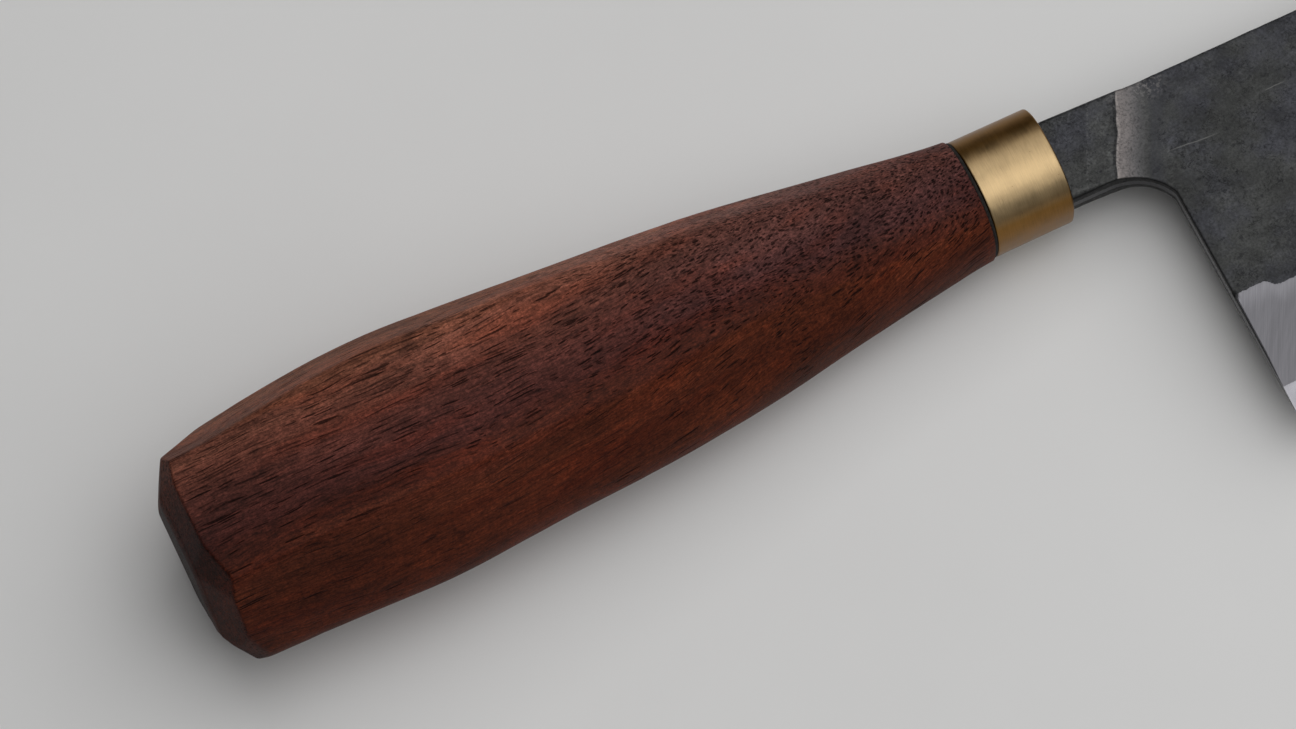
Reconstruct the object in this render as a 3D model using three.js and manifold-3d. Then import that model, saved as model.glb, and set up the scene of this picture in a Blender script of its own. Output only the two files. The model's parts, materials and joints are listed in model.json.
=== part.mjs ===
// Hand-forged vegetable knife with a faceted wooden handle, lying on its left side. Millimetres.
//
// Every piece is modelled in the knife's own frame: x runs along the handle's axis from the butt to the tip, with
// x = 0 at the front rim of the ferrule; y runs from the cutting edge to the spine; z runs out of the right face.
// The finished knife is then laid on its left side, so that the handle's belly and the blade's tip both rest on
// z = 0, with the centre of its footprint at the origin.
import * as THREE from "three";
import { mergeVertices } from "three/addons/utils/BufferGeometryUtils.js";
import Module from "manifold-3d";

const wasm = await Module();
wasm.setup();

// ---- driving dimensions ----

const BLADE = {
  heelX: 13.7, // straight heel line, square to the handle
  length: 165, // heel to tip
  spineY: 4.9,
  tipSpineY: 3.9, // the spine falls slightly towards the tip
  shoulderY: -29.3, // where the flat forged face ends and the wide bevel starts
  coreY: -43.2, // where the cladding ends and the core steel is bare
  edgeY: -48.6,
  tipCorner: 11, // rounding where the spine turns down into the tip
  edgeCorner: 5, // rounding where the edge turns up into the tip
  edgeLift: 0.9, // how far the edge rises towards the tip
};
const BELLY = { startX: 70, pullX: 30 }; // distances back from the tip, where the edge starts to rise
const NECK = { topY: 5.4, underY: -7.05, backX: -0.3, thickness: 4.8, rampX: 8 };
// Finger arc from the neck's underside to the heel line: where it starts and ends, and how far each end runs straight.
const ARC = { startX: 6.0, endY: -12.1, startPull: 4.2, endPullX: 1.0, endPullY: 2.7 };
// Thickness of the blade at four heights (spine, shoulder, bare-core line, edge) at the heel and at the tip.
const HEEL_THICKNESS = [3.5, 2.9, 1.24, 0.12];
const TIP_THICKNESS = [2.2, 1.6, 1.04, 0.12];
const CORE_THICKNESS = 0.7;
const LAYER_GAP = 0.15;
const SPINE_MARGIN = 2; // the thicknesses above are measured from this far over the spine

const TANG = { length: 85, rootHeight: 9.4, rootThickness: 3.8, endHeight: 5, endThickness: 2.6, y: -0.3 };
const FERRULE = { length: 11.7, frontD: 16.6, backD: 16.8, boreD: 15.0, rimRound: 0.35 };
const SPACER = { outerD: 16.8, thickness: 0.45 };
const HANDLE = { shoulderX: -12.25, buttX: -130.5, tenonEndX: -4.0, tenonD: 14.4 };
const SLOT = { height: 10.5, thickness: 5.0, endX: -90 };
const FIT_GAP = 0.2; // between pieces that touch on the real knife
const FACE_GAP = 0.05; // between the flat faces of the ring stack
const FAR = 200; // beyond every part of the knife

// Handle sections from the shoulder back: x, height (along y), how far the section has gone from round (0) to an
// eight-sided one (1), and the y of its middle: the butt droops a little towards the edge side.
const HANDLE_STATIONS = [
  [-12.25, 17.1, 0.0, -0.2],
  [-21, 19.9, 0.15, -0.1],
  [-29.5, 22.6, 0.35, 0],
  [-38, 25.2, 0.55, 0],
  [-46, 27.9, 0.75, 0],
  [-54, 29.7, 0.9, -0.1],
  [-62.5, 31.6, 1, -0.2],
  [-70.5, 32.7, 1, -0.2],
  [-79, 33.6, 1, 0],
  [-88, 34.7, 1, 0],
  [-95, 35.5, 1, 0],
  [-103, 35.3, 1, -0.2],
  [-110, 34.4, 1, -0.3],
  [-117, 33.3, 1, -0.5],
  [-123.6, 32.0, 1, -1.0],
];
const SECTION = { thickness: 0.9, sideFlat: 0.57, topFlat: 0.14 };
const BUTT_INSET = 4.6; // how far the carved bevel steps in all round by the flat butt face
const BUTT_MIDDLE_Y = -1.3;

const TIP_X = BLADE.heelX + BLADE.length;

// ---- colours ----

const MATERIALS = {
  core: new THREE.MeshStandardMaterial({ color: 0x9a9ca0, roughness: 0.3, metalness: 1 }),
  scale: new THREE.MeshStandardMaterial({ color: 0x3a3d41, roughness: 0.55, metalness: 0.7 }),
  walnut: new THREE.MeshStandardMaterial({ color: 0x4f2c22, roughness: 0.6, metalness: 0 }),
  brass: new THREE.MeshStandardMaterial({ color: 0xc09a52, roughness: 0.28, metalness: 1 }),
  black: new THREE.MeshStandardMaterial({ color: 0x121212, roughness: 0.5, metalness: 0 }),
  resin: new THREE.MeshStandardMaterial({ color: 0x0c0c0d, roughness: 0.25, metalness: 0 }),
};

// ---- geometry helpers ----

// Turn a closed three.js geometry into a solid for joining and cutting.
function toSolid(geometry) {
  const bare = geometry.clone();
  bare.deleteAttribute("normal");
  bare.deleteAttribute("uv");
  const merged = mergeVertices(bare);
  return new wasm.Manifold(
    new wasm.Mesh({
      numProp: 3,
      vertProperties: new Float32Array(merged.attributes.position.array),
      triVerts: new Uint32Array(merged.index.array),
    })
  );
}

function toGeometry(solid) {
  const mesh = solid.getMesh();
  const geometry = new THREE.BufferGeometry();
  geometry.setAttribute("position", new THREE.BufferAttribute(mesh.vertProperties, 3));
  geometry.setIndex(new THREE.BufferAttribute(mesh.triVerts, 1));
  geometry.computeVertexNormals();
  return geometry;
}

// Closed skin over a row of rings with equal point counts, each ring counter-clockwise seen from +x and the
// rings in order of rising x. The two end rings are capped with fans.
function loft(rings) {
  const count = rings[0].length;
  const positions = rings.flat().flatMap((p) => [p.x, p.y, p.z]);
  const index = [];
  for (let r = 0; r < rings.length - 1; r++) {
    for (let i = 0; i < count; i++) {
      const a = r * count + i;
      const b = r * count + ((i + 1) % count);
      index.push(a, b, b + count, a, b + count, a + count);
    }
  }
  const last = (rings.length - 1) * count;
  for (let i = 1; i < count - 1; i++) {
    index.push(0, i + 1, i);
    index.push(last, last + i, last + i + 1);
  }
  const geometry = new THREE.BufferGeometry();
  geometry.setAttribute("position", new THREE.Float32BufferAttribute(positions, 3));
  geometry.setIndex(index);
  geometry.computeVertexNormals();
  return geometry;
}

// Box between two corners.
function boxBetween(low, high) {
  const size = new THREE.Vector3().subVectors(high, low);
  const centre = new THREE.Vector3().addVectors(low, high).multiplyScalar(0.5);
  return new THREE.BoxGeometry(size.x, size.y, size.z).translate(centre.x, centre.y, centre.z);
}

// Ring or disc turned about the x axis from a closed profile of [radius, x] points.
function turned(profile, segments) {
  const points = profile.map(([radius, x]) => new THREE.Vector2(radius, x));
  return new THREE.LatheGeometry(points, segments).rotateZ(-Math.PI / 2);
}

// ---- blade, neck and tang: one forged blank, split into its three welded layers ----

// Side view of the neck and blade, as a shape in x and y.
function bladeOutline() {
  const { heelX, spineY, tipSpineY, edgeY, tipCorner, edgeCorner, edgeLift } = BLADE;
  const tipEdgeY = edgeY + edgeLift;
  const outline = new THREE.Shape();
  outline.moveTo(NECK.backX, NECK.underY);
  outline.lineTo(ARC.startX, NECK.underY);
  outline.bezierCurveTo(
    ARC.startX + ARC.startPull, NECK.underY,
    heelX - ARC.endPullX, ARC.endY + ARC.endPullY,
    heelX, ARC.endY
  );
  outline.lineTo(heelX, edgeY);
  outline.lineTo(TIP_X - BELLY.startX, edgeY);
  outline.quadraticCurveTo(TIP_X - BELLY.pullX, edgeY, TIP_X - edgeCorner, tipEdgeY);
  outline.quadraticCurveTo(TIP_X - 0.8, tipEdgeY + 0.4, TIP_X - 0.6, tipEdgeY + edgeCorner);
  outline.lineTo(TIP_X, tipSpineY - tipCorner);
  outline.quadraticCurveTo(TIP_X, tipSpineY - 1, TIP_X - tipCorner, tipSpineY);
  outline.quadraticCurveTo((heelX + TIP_X) / 2, spineY, heelX, spineY);
  outline.lineTo(NECK.backX, NECK.topY);
  outline.closePath();
  return outline;
}

// Cross-section at x with the given thicknesses at the spine, shoulder, bare-core line and edge.
function wedgeRing(x, thicknesses) {
  const heights = [BLADE.spineY + SPINE_MARGIN, BLADE.shoulderY, BLADE.coreY, BLADE.edgeY - 1];
  const right = heights.map((y, i) => new THREE.Vector3(x, y, thicknesses[i] / 2));
  const left = right.map((p) => new THREE.Vector3(p.x, p.y, -p.z)).reverse();
  return [...right, ...left];
}

function tangSolid(clearance) {
  const ring = (x, height, thickness) => {
    const h = height / 2 + clearance;
    const t = thickness / 2 + clearance;
    return [
      new THREE.Vector3(x, TANG.y - h, -t),
      new THREE.Vector3(x, TANG.y + h, -t),
      new THREE.Vector3(x, TANG.y + h, t),
      new THREE.Vector3(x, TANG.y - h, t),
    ];
  };
  const end = ring(-TANG.length - clearance, TANG.endHeight, TANG.endThickness);
  const root = ring(NECK.backX + 1, TANG.rootHeight, TANG.rootThickness);
  return toSolid(loft([end, root]));
}

function forgedBlank() {
  const depth = 2 * NECK.thickness;
  const slab = new THREE.ExtrudeGeometry(bladeOutline(), { depth, bevelEnabled: false, curveSegments: 10 });
  slab.translate(0, 0, -depth / 2);
  const neckThickness = Array(4).fill(NECK.thickness);
  const envelope = loft([
    wedgeRing(NECK.backX - 1, neckThickness),
    wedgeRing(NECK.rampX, neckThickness),
    wedgeRing(BLADE.heelX, HEEL_THICKNESS),
    wedgeRing(TIP_X + 1, TIP_THICKNESS),
  ]);
  return toSolid(slab).intersect(toSolid(envelope)).add(tangSolid(0));
}

function coreSteel(blank) {
  const half = CORE_THICKNESS / 2;
  const sheet = boxBetween(new THREE.Vector3(-FAR, -FAR, -half), new THREE.Vector3(FAR, FAR, half));
  const bare = boxBetween(new THREE.Vector3(-FAR, -FAR, -FAR), new THREE.Vector3(FAR, BLADE.coreY, FAR));
  return toGeometry(blank.intersect(toSolid(sheet).add(toSolid(bare))));
}

function cladding(blank, side) {
  const inner = (CORE_THICKNESS / 2 + LAYER_GAP) * side;
  const lowZ = Math.min(inner, FAR * side);
  const highZ = Math.max(inner, FAR * side);
  const zone = boxBetween(
    new THREE.Vector3(-FAR, BLADE.coreY + LAYER_GAP, lowZ),
    new THREE.Vector3(FAR, FAR, highZ)
  );
  return toGeometry(blank.intersect(toSolid(zone)));
}

// ---- handle ----

// Corners of the eight-sided section in the first quadrant of (y, z), for a section of the given height.
function sectionCorners(height) {
  const side = new THREE.Vector2((height * SECTION.sideFlat) / 2, (height * SECTION.thickness) / 2);
  const top = new THREE.Vector2(height / 2, (height * SECTION.topFlat) / 2);
  return [top, side];
}

// One section of the handle: its flats and slopes each keep a row of points, so that they stay flat, and every
// point moves towards the round section of the ferrule end as the squareness falls to 0.
function handleRing(x, height, squareness, middleY, inset = 0) {
  const [top, side] = sectionCorners(height);
  const quadrant = [
    new THREE.Vector2(height / 2, 0),
    top,
    top.clone().lerp(side, 1 / 3),
    top.clone().lerp(side, 2 / 3),
    side,
    new THREE.Vector2(side.x / 2, side.y),
    new THREE.Vector2(0, side.y),
  ];
  const mirrored = quadrant.slice(0, -1).reverse().map((p) => new THREE.Vector2(-p.x, p.y));
  const rightHalf = [...quadrant, ...mirrored];
  const leftHalf = rightHalf.slice(1, -1).reverse().map((p) => new THREE.Vector2(p.x, -p.y));
  return [...rightHalf, ...leftHalf].map((p) => {
    const round = p.clone().setLength(height / 2);
    const point = round.lerp(p, squareness);
    point.setLength(point.length() - inset);
    return new THREE.Vector3(x, middleY + point.x, point.y);
  });
}

function handle() {
  const rings = HANDLE_STATIONS.map((station) => handleRing(...station)).reverse();
  const [, lastHeight] = HANDLE_STATIONS.at(-1);
  rings.unshift(handleRing(HANDLE.buttX, lastHeight, 1, BUTT_MIDDLE_Y, BUTT_INSET));
  const tenon = turned(
    [
      [0, HANDLE.shoulderX - 1],
      [HANDLE.tenonD / 2, HANDLE.shoulderX - 1],
      [HANDLE.tenonD / 2, HANDLE.tenonEndX],
      [0, HANDLE.tenonEndX],
    ],
    40
  );
  const slot = boxBetween(
    new THREE.Vector3(SLOT.endX, TANG.y - SLOT.height / 2, -SLOT.thickness / 2),
    new THREE.Vector3(1, TANG.y + SLOT.height / 2, SLOT.thickness / 2)
  );
  return toGeometry(toSolid(loft(rings)).add(toSolid(tenon)).subtract(toSolid(slot)));
}

// ---- ferrule, spacer ring and tang bedding ----

function ferrule() {
  const front = FERRULE.frontD / 2;
  const back = FERRULE.backD / 2;
  const bore = FERRULE.boreD / 2;
  const round = FERRULE.rimRound;
  const profile = [
    [bore, -FERRULE.length],
    [back, -FERRULE.length],
    [front, -round],
    [front - round, 0],
    [bore, 0],
    [bore, -FERRULE.length],
  ];
  return turned(profile, 64);
}

function spacerRing() {
  const front = -FERRULE.length - FACE_GAP;
  const back = front - SPACER.thickness;
  const outer = SPACER.outerD / 2;
  const inner = HANDLE.tenonD / 2 + FIT_GAP;
  return turned([[inner, back], [outer, back], [outer, front], [inner, front], [inner, back]], 64);
}

function tangBedding() {
  const halfHeight = SLOT.height / 2 - FIT_GAP;
  const halfThickness = SLOT.thickness / 2 - FIT_GAP;
  const plugBack = HANDLE.tenonEndX + FIT_GAP;
  const plugFront = NECK.backX - FIT_GAP;
  const radius = FERRULE.boreD / 2 - FIT_GAP;
  const fill = boxBetween(
    new THREE.Vector3(SLOT.endX + FIT_GAP, TANG.y - halfHeight, -halfThickness),
    new THREE.Vector3(plugFront, TANG.y + halfHeight, halfThickness)
  );
  const plug = turned([[0, plugBack], [radius, plugBack], [radius, plugFront], [0, plugFront]], 48);
  return toGeometry(toSolid(fill).add(toSolid(plug)).subtract(tangSolid(FIT_GAP)));
}

// ---- the knife ----

function piece(name, geometry, material) {
  const mesh = new THREE.Mesh(geometry, material);
  mesh.name = name;
  return mesh;
}

function cornersOf(mesh) {
  const position = mesh.geometry.attributes.position;
  return Array.from({ length: position.count }, (_, i) =>
    new THREE.Vector3().fromBufferAttribute(position, i).applyMatrix4(mesh.matrixWorld)
  );
}

// Lay the knife on its left side: rolled so that the blade's left flat is level across, then tilted to the
// steepest line that runs from the tip's lower face to the handle, and set down with its footprint on the origin.
function layDown(knife) {
  const flatHeight = BLADE.spineY + SPINE_MARGIN - BLADE.shoulderY;
  knife.rotation.order = "YXZ";
  knife.rotation.x = Math.atan2((TIP_THICKNESS[0] - TIP_THICKNESS[1]) / 2, flatHeight);
  knife.updateMatrixWorld(true);
  const corners = knife.children.flatMap(cornersOf);
  const tip = corners.filter((p) => p.x > TIP_X - 0.1).reduce((a, b) => (b.z < a.z ? b : a));
  const behind = corners.filter((p) => p.x < HANDLE.shoulderX);
  knife.rotation.y = Math.max(...behind.map((p) => Math.atan2(tip.z - p.z, tip.x - p.x)));
  const bounds = new THREE.Box3().setFromObject(knife, true);
  const middle = bounds.getCenter(new THREE.Vector3());
  knife.position.set(-middle.x, -middle.y, -bounds.min.z);
}

const blank = forgedBlank();
const knife = new THREE.Group();
knife.add(piece("core_steel", coreSteel(blank), MATERIALS.core));
knife.add(piece("cladding_right", cladding(blank, 1), MATERIALS.scale));
knife.add(piece("cladding_left", cladding(blank, -1), MATERIALS.scale));
knife.add(piece("handle", handle(), MATERIALS.walnut));
knife.add(piece("ferrule", ferrule(), MATERIALS.brass));
knife.add(piece("spacer_ring", spacerRing(), MATERIALS.black));
knife.add(piece("tang_bedding", tangBedding(), MATERIALS.resin));

layDown(knife);

const part = new THREE.Group();
part.add(knife);

export default part;
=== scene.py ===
"""A hand-forged vegetable knife with a hand-carved walnut handle, lying on its left side.

Lengths are millimetres in the knife's own frame, and become metres where a mesh is made. In that frame x
runs along the handle's axis from the butt to the tip, with x = 0 at the front rim of the ferrule, y from the
cutting edge to the spine, and z out of the right face. KNIFE lays that frame into the row frame, where the
CAD model lies.
"""

import json
import math

import bmesh
import bpy
import numpy as np
from mathutils import Matrix, Vector
from mathutils.geometry import delaunay_2d_cdt


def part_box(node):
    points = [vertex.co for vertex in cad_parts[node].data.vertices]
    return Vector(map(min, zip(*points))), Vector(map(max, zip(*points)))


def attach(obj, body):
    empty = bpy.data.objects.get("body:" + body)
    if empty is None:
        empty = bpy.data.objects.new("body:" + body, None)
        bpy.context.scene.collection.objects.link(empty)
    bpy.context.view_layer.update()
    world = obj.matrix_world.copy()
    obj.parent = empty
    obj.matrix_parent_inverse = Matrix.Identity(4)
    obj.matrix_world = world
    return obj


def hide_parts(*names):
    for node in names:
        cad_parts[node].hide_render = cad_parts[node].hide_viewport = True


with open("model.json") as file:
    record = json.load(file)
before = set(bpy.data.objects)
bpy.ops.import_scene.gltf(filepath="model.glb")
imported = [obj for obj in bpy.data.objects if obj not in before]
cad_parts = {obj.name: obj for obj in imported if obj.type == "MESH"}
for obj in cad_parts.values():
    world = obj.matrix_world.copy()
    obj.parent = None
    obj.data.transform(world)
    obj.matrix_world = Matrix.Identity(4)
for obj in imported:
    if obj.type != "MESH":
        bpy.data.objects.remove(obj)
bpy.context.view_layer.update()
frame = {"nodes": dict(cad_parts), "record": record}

MM = 0.001
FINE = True

# ---- the knife's own frame, read back from the CAD model ----

SPACER_MIDDLE_X = -11.975


def knife_matrix():
    """From the knife's own frame to the row frame: the blade's flats give the turn, the spacer the place."""
    axes = {mount["name"]: Vector(mount["axis"]) for mount in frame["record"]["mounts"]}
    out = (axes["blade_right_flat"] - axes["blade_left_flat"]).normalized()
    tilt = Matrix.Rotation(math.atan2(out.x, out.z), 4, "Y")
    roll = Matrix.Rotation(-math.asin(out.y), 4, "X")
    low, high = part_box("spacer_ring")
    middle = Matrix.Translation((low + high) / 2)
    return middle @ tilt @ roll @ Matrix.Translation((-SPACER_MIDDLE_X * MM, 0, 0))


KNIFE = knife_matrix()


def cad_points(node):
    """A CAD node's corners in the knife's own frame, in millimetres."""
    back = np.array(KNIFE.inverted())
    corners = np.array([v.co for v in frame["nodes"][node].data.vertices])
    return (corners @ back[:3, :3].T + back[:3, 3]) / MM


CORE, CLAD, WOOD, RING, SPACER = (
    cad_points(node) for node in ("core_steel", "cladding_right", "handle", "ferrule", "spacer_ring")
)

# ---- driving dimensions ----

TIP_X = CORE[:, 0].max()
EDGE_Y = CORE[:, 1].min()
HEEL_X = CORE[CORE[:, 1] < EDGE_Y / 2, 0].min()
NECK_TOP_Y = CLAD[:, 1].max()
NECK_UNDER_Y = -7.05
NECK_BACK_X = -1.2  # the neck's end, out of sight in the resin
SPINE_Y = 4.9
TIP_SPINE_Y = 3.9
SHOULDER_Y = -29.3
CORE_Y = -43.2
EDGE_LIFT = 0.9
TIP_CORNER, EDGE_CORNER = 11, 5
BELLY_X = TIP_X - 70  # from here the edge rises to the tip
ARC_X, ARC_Y = 6.0, -12.1  # the finger arc runs from the neck's underside to the heel line

# Half thickness of the blade at the heel and at the tip, for four heights: over the spine, at the shoulder of
# the ground bevel, at the bare-core line and at the edge.
FACE_HEIGHTS_Y = np.array([SPINE_Y + 2, SHOULDER_Y, CORE_Y, EDGE_Y])
HEEL_HALF = np.array([1.75, 1.45, 0.62, 0.06])
TIP_HALF = np.array([1.10, 0.80, 0.52, 0.05])
NECK_HALF = 2.4
RAMP_LENGTH = 5.5  # from the neck's crease down to the blade's flat
RIM_RADIUS, NECK_RIM_RADIUS = 0.28, 0.75
SPINE_RIM_RADIUS = 0.55  # the neck's upper rim

TANG_END_X = CORE[:, 0].min()
TANG_Y = -0.3
TANG_ROOT_HALF = (4.7, 1.9)  # half height and half thickness
TANG_END_HALF = (2.5, 1.3)
SLOT_HALF = (5.25, 2.5)
SLOT_END_X = -90
TENON_RADIUS = 7.2
TENON_END_X = WOOD[:, 0].max()
FIT_GAP = 0.2

FERRULE_BACK_X = RING[:, 0].min()
FERRULE_FRONT_RADIUS, FERRULE_BACK_RADIUS, FERRULE_BORE = 8.20, 8.26, 7.5
FERRULE_POWER = 2.35  # a little squarer than a circle, which is 2
RING_MIDDLE_Y = -0.22  # the ring sits a little towards the edge side of its bore
SPACER_FRONT_X, SPACER_BACK_X = SPACER[:, 0].max(), SPACER[:, 0].min()

SHOULDER_X = -12.25
BUTT_X = WOOD[:, 0].min()
BUTT_RIDGE_X = -125
# Towards the ferrule the facets drift to other angles and distances. The drift takes as long as the way from
# this x to the shoulder, and is ahead by this share of it.
DRIFT_FROM_X, DRIFT_LEAD = -60, 0.25
ROUNDING_LENGTH = 22  # behind the shoulder the section turns from the ferrule's shape to the facets
SHOULDER_STEP = 0.15  # how far the wood's round lies inside the section's height at the shoulder
SHOULDER_SOFTENING = (0.12, 0.08)  # along the axis and towards it
# How crisp the ridges are: between the facets at the ferrule and at the belly, and between the butt's cuts.
FRONT_POWER, BELLY_POWER, CUT_POWER = 20, 42, 90
# The handle's long facets: the angle of each from the spine side towards the right face, and its distance
# from the axis as a share of the section's height, at the belly and then at the ferrule.
FACETS = [
    (0, 0.508, 0, 0.500),
    (29.5, 0.479, 37, 0.478),
    (90, 0.450, 88, 0.470),
    (150.5, 0.479, 139, 0.478),
    (168, 0.560, 165, 0.488),
    (180, 0.508, 181, 0.500),
    (209.5, 0.479, 217, 0.484),
    (270, 0.446, 270, 0.468),
    (330.5, 0.479, 323, 0.484),
]
# Cuts that fall towards the butt: angle, slope in degrees, and the x where each cut starts.
BUTT_CUTS = [
    (8, 45, -125.2),
    (12, 22, -121.6),
    (16, 64, -127.0),
    (60, 62, -127.4),
    (90, 68, -128.0),
    (122, 62, -126.6),
    (152, 66, -127.2),
    (162, 5, -113),
    (176, 42, -125.7),
    (178, 66, -128.2),
    (184, 40, -125.3),
    (200, 86, -129.8),
    (205, 3, -108),
    (214, 58, -126.6),
    (248, 68, -126.9),
    (284, 72, -127.4),
    (322, 60, -126.8),
    (340, 40, -125.6),
    (346, 24, -122.6),
    (352, 62, -127.2),
]

# ---- small helpers for shapes ----

NOISE_SIZE = 64


def noise(u, v, seed):
    """Smooth noise from -1 to 1 over cells of size 1."""
    table = np.random.default_rng(seed).uniform(-1, 1, (NOISE_SIZE, NOISE_SIZE))
    u, v = np.broadcast_arrays(u, v)
    column, row = np.floor(u).astype(int), np.floor(v).astype(int)
    s, t = smooth(u - column), smooth(v - row)

    def corner(i, j):
        return table[(column + i) % NOISE_SIZE, (row + j) % NOISE_SIZE]

    near = corner(0, 0) * (1 - s) + corner(1, 0) * s
    far = corner(0, 1) * (1 - s) + corner(1, 1) * s
    return near * (1 - t) + far * t


def smooth(t):
    t = np.clip(t, 0, 1)
    return t * t * (3 - 2 * t)


def line(start, end, step):
    """Points from start towards end, without end."""
    start, end = np.array(start, float), np.array(end, float)
    count = max(1, round(np.linalg.norm(end - start) / step))
    return [start + (end - start) * i / count for i in range(count)]


def curve(controls, step):
    """Points on a Bezier curve with three or four control points, without its last one."""
    controls = np.array(controls, float)
    count = max(2, round(np.linalg.norm(np.diff(controls, axis=0), axis=1).sum() / step))
    points = []
    for i in range(count):
        row = controls
        while len(row) > 1:
            row = row[:-1] + (row[1:] - row[:-1]) * i / count
        points.append(row[0])
    return points


def added(name, data):
    """A new object in the scene."""
    made = bpy.data.objects.new(name, data)
    bpy.context.scene.collection.objects.link(made)
    return made


def mesh_object(name, vertices, faces, material, attributes=()):
    """A smooth-shaded object from points in millimetres in the knife's frame, laid into the row frame."""
    mesh = bpy.data.meshes.new(name)
    mesh.from_pydata((np.asarray(vertices) * MM).tolist(), [], faces)
    for key, values in dict(attributes).items():
        layer = mesh.attributes.new(key, "FLOAT", "POINT")
        layer.data.foreach_set("value", np.asarray(values, np.float32))
    shape = bmesh.new()
    shape.from_mesh(mesh)
    bmesh.ops.recalc_face_normals(shape, faces=shape.faces)
    shape.to_mesh(mesh)
    shape.free()
    mesh.shade_smooth()
    mesh.set_sharp_from_angle(angle=math.radians(38))
    mesh.materials.append(material)
    piece = added(name, mesh)
    piece.matrix_world = KNIFE
    return piece


def dress(piece, node):
    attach(piece, "root")
    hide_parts(node)


# ---- material helper ----


class Shader:
    """A material under construction. Each method adds a node and gives back its output."""

    def __init__(self, name):
        self.material = bpy.data.materials.new(name)
        self.material.use_nodes = True
        self.tree = self.material.node_tree
        self.surface = self.tree.nodes["Principled BSDF"]

    def fill(self, node, inputs):
        for key, value in inputs.items():
            if isinstance(value, bpy.types.NodeSocket):
                self.tree.links.new(value, node.inputs[key])
            else:
                node.inputs[key].default_value = value

    def node(self, kind, inputs, output=0, **settings):
        made = self.tree.nodes.new("ShaderNode" + kind)
        for key, value in settings.items():
            setattr(made, key, value)
        self.fill(made, inputs)
        return made.outputs[output]

    def finish(self, **inputs):
        """Sets the surface's sockets: names are written with _ for a space."""
        self.fill(self.surface, {key.replace("_", " "): value for key, value in inputs.items()})
        return self.material

    def position(self):
        """Where the point is in the knife's frame, in millimetres."""
        metres = self.node("TexCoord", {}, "Object")
        return self.node("VectorMath", {0: metres, "Scale": 1 / MM}, operation="SCALE")

    def normal(self):
        return self.node("TexCoord", {}, "Normal")

    def attribute(self, name):
        return self.node("Attribute", {}, "Fac", attribute_name=name)

    def split(self, vector):
        return [self.node("SeparateXYZ", {0: vector}, axis) for axis in "XYZ"]

    def join(self, x, y, z):
        return self.node("CombineXYZ", {"X": x, "Y": y, "Z": z})

    def math(self, operation, *values):
        return self.node("Math", dict(enumerate(values)), operation=operation)

    def plus(self, first, second):
        return self.math("ADD", first, second)

    def minus(self, first, second):
        return self.math("SUBTRACT", first, second)

    def times(self, first, second):
        return self.math("MULTIPLY", first, second)

    def absolute(self, value):
        return self.math("ABSOLUTE", value)

    def inverse(self, share):
        return self.minus(1.0, share)

    def stretch(self, vector, factors):
        return self.node("VectorMath", {0: vector, 1: factors}, operation="MULTIPLY")

    def shift(self, vector, offset):
        return self.node("VectorMath", {0: vector, 1: offset}, operation="ADD")

    def turn(self, vector, degrees):
        """The vector turned about z, so that what lay at this angle lies along x."""
        angle = math.radians(-degrees)
        return self.node("VectorRotate", {"Vector": vector, "Angle": angle}, rotation_type="Z_AXIS")

    def noise(self, vector, scale=1.0, detail=2.0, roughness=0.5, distortion=0.0, output="Fac"):
        inputs = {"Vector": vector, "Scale": scale, "Detail": detail, "Roughness": roughness}
        return self.node("TexNoise", inputs | {"Distortion": distortion}, output)

    def cells(self, vector, output="Distance"):
        return self.node("TexVoronoi", {"Vector": vector, "Scale": 1.0, "Randomness": 1.0}, output)

    def rise(self, value, low, high, start=0.0, end=1.0):
        """Smoothly from start to end as the value goes from low to high."""
        inputs = {"Value": value, "From Min": low, "From Max": high, "To Min": start, "To Max": end}
        return self.node("MapRange", inputs, interpolation_type="SMOOTHSTEP")

    def mix(self, factor, first, second):
        first, second = (c if isinstance(c, bpy.types.NodeSocket) else (*c, 1) for c in (first, second))
        inputs = {0: factor, 6: first, 7: second}
        return self.node("Mix", inputs, 2, data_type="RGBA", blend_type="MIX")

    def scaled(self, colour, factor):
        return self.node("VectorMath", {0: colour, "Scale": factor}, operation="SCALE")

    def vary(self, colour, pattern, low, high, start, end):
        """The colour times a factor that goes from start to end as the pattern goes from low to high."""
        return self.scaled(colour, self.rise(pattern, low, high, start, end))

    def ramp(self, value, stops):
        made = self.tree.nodes.new("ShaderNodeValToRGB")
        self.fill(made, {0: value})
        points = made.color_ramp.elements
        while len(points) < len(stops):
            points.new(1)
        for point, (place, colour) in zip(points, stops):
            point.position = place
            point.color = (*colour, 1)
        return made.outputs[0]

    def bump(self, height, depth, under=None):
        """A normal from a height of 0 to 1, which stands for this many millimetres."""
        inputs = {"Height": height, "Distance": depth * MM, "Strength": 1.0}
        if under:
            inputs["Normal"] = under
        return self.node("Bump", inputs)


# ---- materials ----

# In front of this x the grain rises towards the ferrule and runs out of the right face.
GRAIN_BEND_FROM_X = -100
GRAIN_RISE, GRAIN_RUN_OUT = 0.0011, 0.0018
ZONE_HEIGHT = 36  # the growth rings' colours lie over this height, from the edge side to the spine side
ZONE_COLOURS = [
    (0.00, (0.072, 0.0150, 0.0050)),
    (0.12, (0.074, 0.0150, 0.0056)),
    (0.22, (0.088, 0.0200, 0.0080)),
    (0.33, (0.066, 0.0155, 0.0090)),
    (0.44, (0.066, 0.0180, 0.0140)),
    (0.56, (0.084, 0.0250, 0.0190)),
    (0.68, (0.130, 0.0410, 0.0270)),
    (0.80, (0.195, 0.0680, 0.0430)),
    (0.90, (0.205, 0.0740, 0.0400)),
    (1.00, (0.185, 0.0620, 0.0300)),
]
# PAINTED_SHEEN_TINT is a painted sheen: the purplish grey of a soft reflection, put into the colour in front
# on the spine side. RED is a reddish streak of the wood itself.
PAINTED_SHEEN_TINT, RED = (1.0, 1.22, 1.45), (1.10, 0.90, 0.80)
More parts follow.
